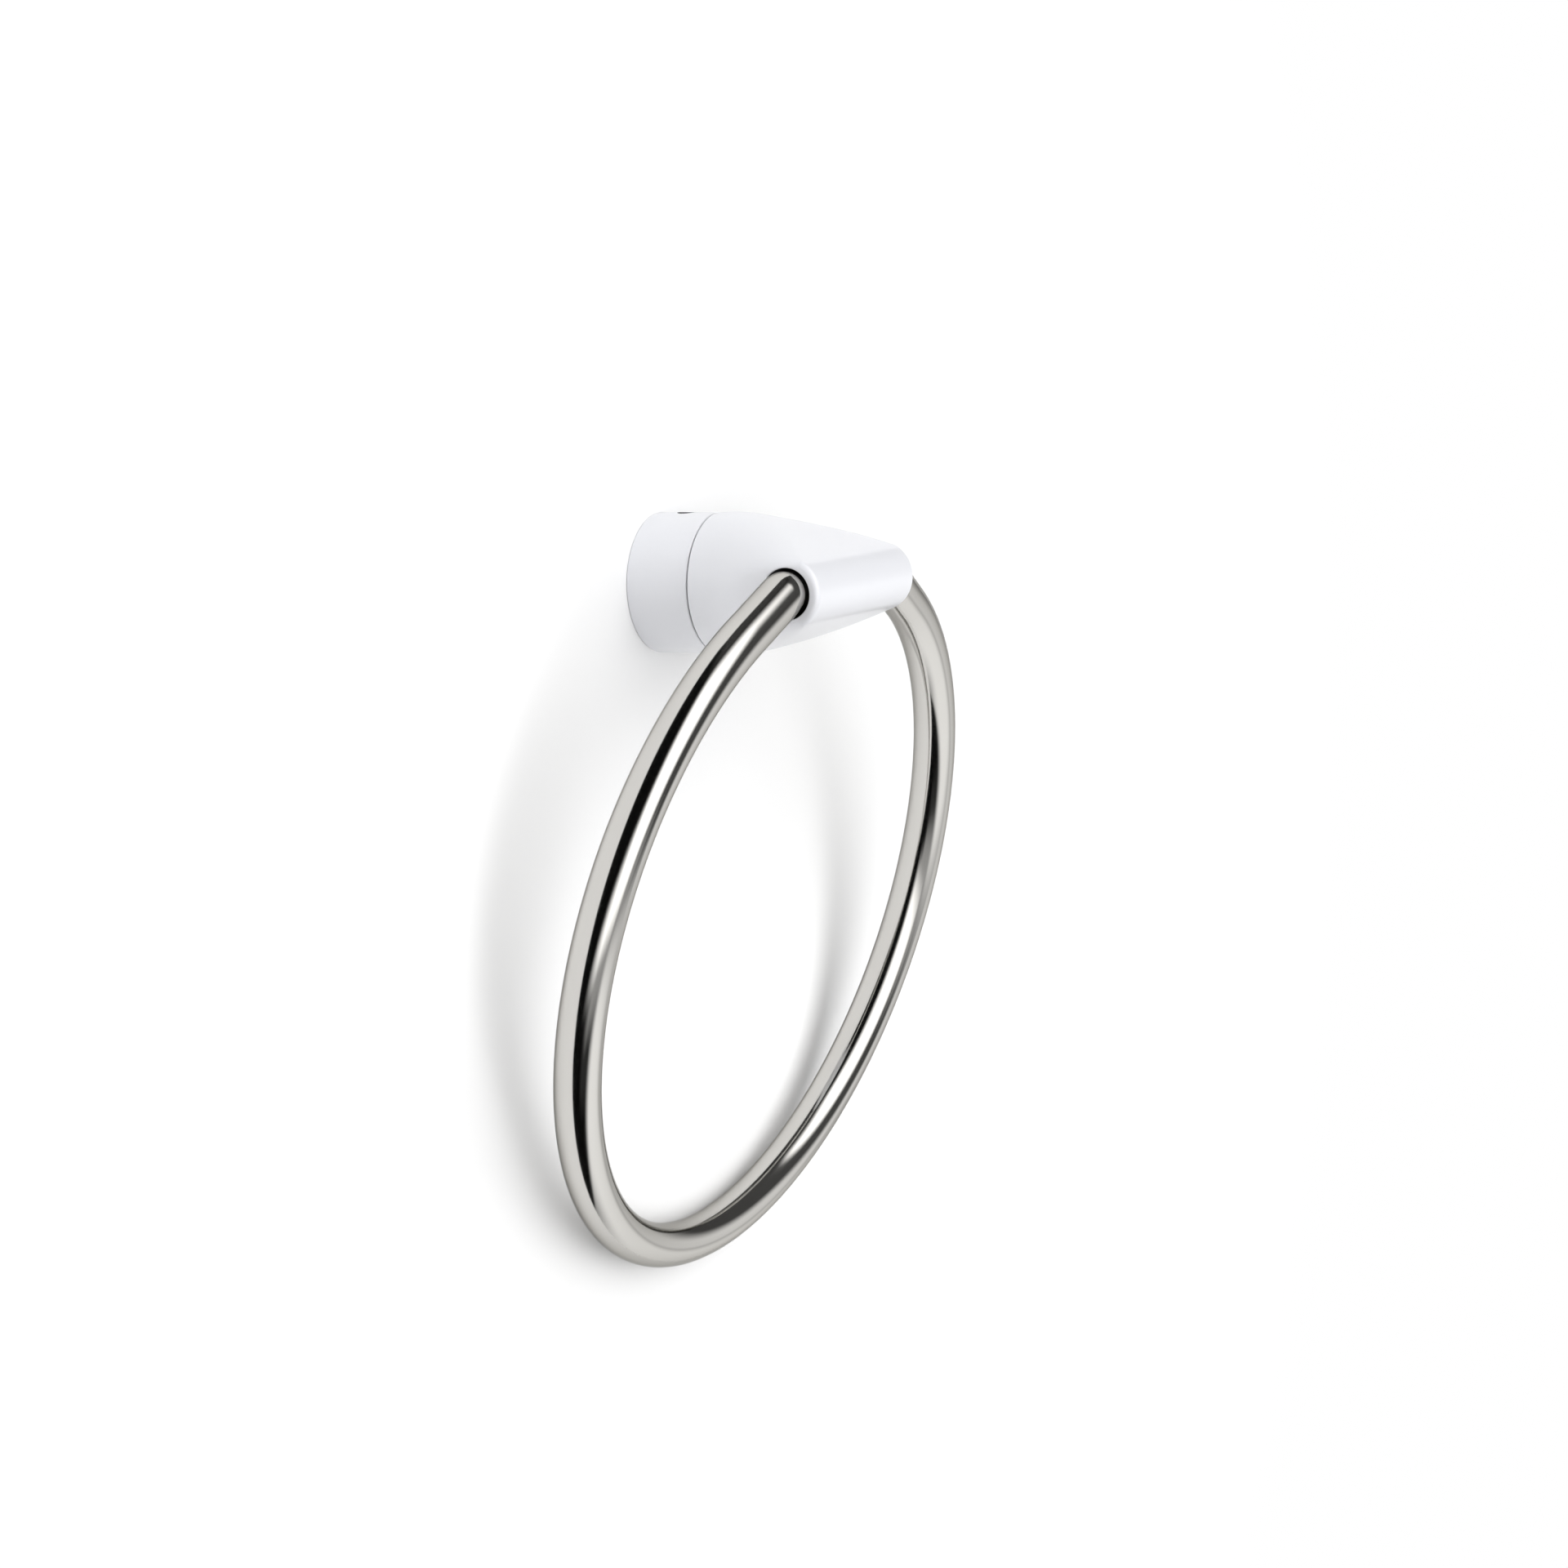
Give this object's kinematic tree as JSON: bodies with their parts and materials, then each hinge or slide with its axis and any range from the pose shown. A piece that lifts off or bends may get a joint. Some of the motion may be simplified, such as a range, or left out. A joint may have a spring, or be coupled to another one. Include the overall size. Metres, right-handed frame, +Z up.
{
  "type": "towel holder",
  "caption": "Wall-fixed towel ring: a white round post with a flared head, and a bright bent bar ring that swings in the head's side bores.",
  "frame": {"origin": "middle of the face that lies on the wall, on the axis of the round post", "axes": "+Y goes into the wall, the post stands out along -Y, +Z is up and the ring hangs along -Z; +X is to the right as seen from the room"},
  "size_m": [0.2, 0.0617, 0.2044],
  "materials": {
    "white_coat": "smooth satin-gloss white coat",
    "bright_bar": "polished bright bar",
    "plate_metal": "plain pressed and turned metal",
    "screw_steel": "plain bright steel"
  },
  "bodies": {
    "bracket": {"rosette": "white_coat", "wall_plate": "plate_metal", "grub_screw": "screw_steel", "lock_washer": "screw_steel", "head_screw": "screw_steel", "locating_pins": "screw_steel", "holder_head": "white_coat"},
    "swing_ring": {"ring": "bright_bar"}
  },
  "joints": [
    {"name": "ring_swing", "type": "hinge", "parent": "bracket", "child": "swing_ring", "pos_m": [0, -0.0523, 0], "axis": [-1, 0, 0], "range_deg": [0, 208]}
  ]
}
